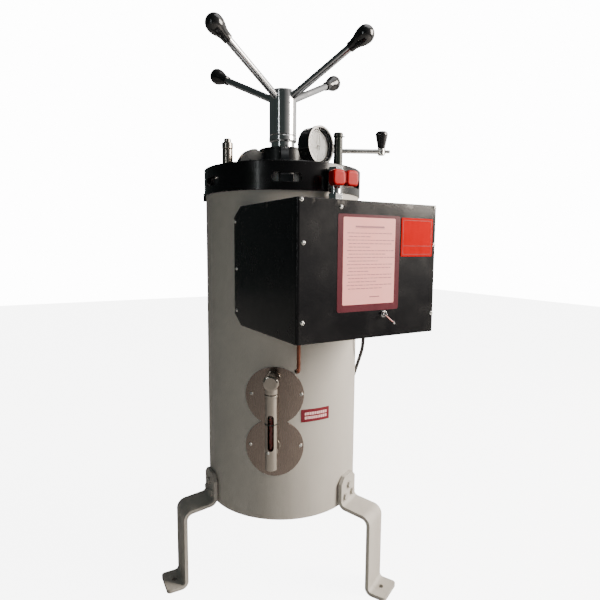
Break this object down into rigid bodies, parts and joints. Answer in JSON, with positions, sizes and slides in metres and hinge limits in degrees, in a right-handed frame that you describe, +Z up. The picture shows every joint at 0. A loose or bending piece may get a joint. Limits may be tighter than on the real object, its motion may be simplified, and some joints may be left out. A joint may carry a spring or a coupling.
{
  "type": "vertical autoclave",
  "caption": "Electrically heated vertical laboratory autoclave on three legs, with radial locking bolts, handwheel, screw lid lift, gauge, valves and control box.",
  "frame": {"origin": "on the floor, on the vertical axis of the body", "axes": "+Z up along the body axis, -Y towards the front, where the control box is, +X to the right seen from the front"},
  "size_m": [0.6004, 0.6403, 1.1984],
  "materials": {
    "body_paint": "pebble-grey textured powder coat",
    "black_gloss": "gloss black enamel",
    "black_paint": "semi-gloss black enamel",
    "stainless": "bright stainless steel",
    "satin_stainless": "brushed stainless plate",
    "nickel_brass": "nickel-plated brass",
    "gauge_tube": "borosilicate gauge glass",
    "heater_sheath": "sheathed heating rod",
    "glass_wool": "glass wool lagging",
    "red_silicone": "silicone rubber",
    "chrome": "bright chrome plate",
    "dark_chrome": "chrome plate",
    "steel": "machined steel",
    "arm_steel": "blue-black enamel",
    "blackened_steel": "blackened steel",
    "zinc_steel": "zinc-plated steel",
    "black_plastic": "moulded phenolic",
    "clear_glass": "clear gauge glass",
    "needle_black": "matt black pointer",
    "red_plastic": "red moulded grip",
    "card": "laminated pink card",
    "red_badge": "plain red plate",
    "maroon_label": "printed maroon label",
    "grey_plastic": "moulded grey plastic",
    "copper": "copper tube",
    "cord_rubber": "black rubber sheath"
  },
  "bodies": {
    "base": {"badge_plate": "red_badge", "basket": "stainless", "bottom_plate": "body_paint", "box_shell": "black_gloss", "cable_gland": "black_plastic", "caution_label": "maroon_label", "chamber": "stainless", "copper_line": "copper", "cord_coil": "cord_rubber", "drain_cock": "nickel_brass", "front_leg": "body_paint", "front_panel": "black_gloss", "gasket": "red_silicone", "immersion_heater": "heater_sheath", "instruction_card": "card", "insulation": "glass_wool", "jacket": "body_paint", "left_leg": "body_paint", "leg_bolts": "body_paint", "level_column": "nickel_brass", "level_glass": "gauge_tube", "level_plate": "satin_stainless", "lift_post": "black_paint", "locking_ring": "black_gloss", "panel_screws": "zinc_steel", "post_brackets": "black_paint", "power_cord": "cord_rubber", "power_plug": "cord_rubber", "pressure_switch": "grey_plastic", "rear_leg": "body_paint", "toggle_switch": "chrome", "vent_pipe": "chrome", "vent_valve": "chrome"},
    "lid": {"lid": "stainless", "crosshead_drum": "black_paint", "drum_cover": "black_paint", "lid_bolts": "zinc_steel", "lid_arm": "black_paint", "gauge_case": "black_plastic", "gauge_glass": "clear_glass", "relief_valve": "nickel_brass"},
    "handwheel": {"handwheel_hub": "chrome", "handwheel_spokes": "dark_chrome", "handwheel_knobs": "black_plastic", "scroll_plate": "steel"},
    "crank": {"crank_spindle": "blackened_steel", "crank_rod": "zinc_steel", "grip_pin": "zinc_steel"},
    "grip": {"crank_grip": "black_plastic"},
    "vent_handle": {"vent_handle": "red_plastic"},
    "drain_lever": {"drain_cock_lever": "red_plastic"},
    "toggle": {"toggle_lever": "chrome"},
    "needle": {"gauge_needle": "needle_black"},
    "relief_stem": {"relief_stem": "nickel_brass"},
    "bolt_1": {"bolt_arm_1": "arm_steel"},
    "bolt_2": {"bolt_arm_2": "arm_steel"},
    "bolt_3": {"bolt_arm_3": "arm_steel"},
    "bolt_4": {"bolt_arm_4": "arm_steel"},
    "bolt_5": {"bolt_arm_5": "arm_steel"},
    "bolt_6": {"bolt_arm_6": "arm_steel"}
  },
  "joints": [
    {"name": "lid_lift", "type": "slide", "parent": "base", "child": "lid", "axis": [0, 0, 1], "range_m": [0, 0.06]},
    {"name": "crank_turn", "type": "hinge", "parent": "lid", "child": "crank", "pos_m": [0.188, 0.052, 1.003], "axis": [0, 0, 1], "range_deg": [0, 3600]},
    {"name": "grip_spin", "type": "hinge", "parent": "crank", "child": "grip", "pos_m": [0.28735, 0.00028, 1.029], "axis": [0, 0, 1], "continuous": true},
    {"name": "handwheel_turn", "type": "hinge", "parent": "lid", "child": "handwheel", "pos_m": [0, 0, 1.019], "axis": [0, 0, 1], "range_deg": [0, 70]},
    {"name": "vent_valve_turn", "type": "hinge", "parent": "base", "child": "vent_handle", "pos_m": [0.01733, -0.22423, 0.89], "axis": [0, -1, 0], "range_deg": [0, 90]},
    {"name": "drain_cock_turn", "type": "hinge", "parent": "base", "child": "drain_lever", "pos_m": [0, 0.218, 0.259], "axis": [0, 0, 1], "range_deg": [0, 90]},
    {"name": "toggle_flip", "type": "hinge", "parent": "base", "child": "toggle", "pos_m": [0.021, -0.3493, 0.64], "axis": [1, 0, 0], "range_deg": [-48, 0]},
    {"name": "relief_lift", "type": "slide", "parent": "lid", "child": "relief_stem", "axis": [0, 0, 1], "range_m": [0, 0.004], "stiffness_N_per_m": 2500, "springref_m": -0.004},
    {"name": "needle_swing", "type": "hinge", "parent": "lid", "child": "needle", "pos_m": [0.00968, -0.12874, 0.9655], "axis": [-0.2924, 0.9563, 0], "range_deg": [-90, 180], "stiffness_Nm_per_rad": 0.0005},
    {"name": "bolt_1_slide", "type": "slide", "parent": "lid", "child": "bolt_1", "axis": [-0.4226, -0.9063, 0], "range_m": [0, 0.014]},
    {"name": "bolt_2_slide", "type": "slide", "parent": "lid", "child": "bolt_2", "axis": [0.5736, -0.8192, 0], "range_m": [0, 0.014]},
    {"name": "bolt_3_slide", "type": "slide", "parent": "lid", "child": "bolt_3", "axis": [0.9962, 0.0872, 0], "range_m": [0, 0.014]},
    {"name": "bolt_4_slide", "type": "slide", "parent": "lid", "child": "bolt_4", "axis": [0.4226, 0.9063, 0], "range_m": [0, 0.014]},
    {"name": "bolt_5_slide", "type": "slide", "parent": "lid", "child": "bolt_5", "axis": [-0.5736, 0.8192, 0], "range_m": [0, 0.014]},
    {"name": "bolt_6_slide", "type": "slide", "parent": "lid", "child": "bolt_6", "axis": [-0.9962, -0.0872, 0], "range_m": [0, 0.014]}
  ],
  "couplings": [
    {"joint": "lid_lift", "follows": "crank_turn", "m_per_rad": 0.00095493},
    {"joint": "bolt_1_slide", "follows": "handwheel_turn", "m_per_rad": 0.011459},
    {"joint": "bolt_2_slide", "follows": "handwheel_turn", "m_per_rad": 0.011459},
    {"joint": "bolt_3_slide", "follows": "handwheel_turn", "m_per_rad": 0.011459},
    {"joint": "bolt_4_slide", "follows": "handwheel_turn", "m_per_rad": 0.011459},
    {"joint": "bolt_5_slide", "follows": "handwheel_turn", "m_per_rad": 0.011459},
    {"joint": "bolt_6_slide", "follows": "handwheel_turn", "m_per_rad": 0.011459}
  ]
}
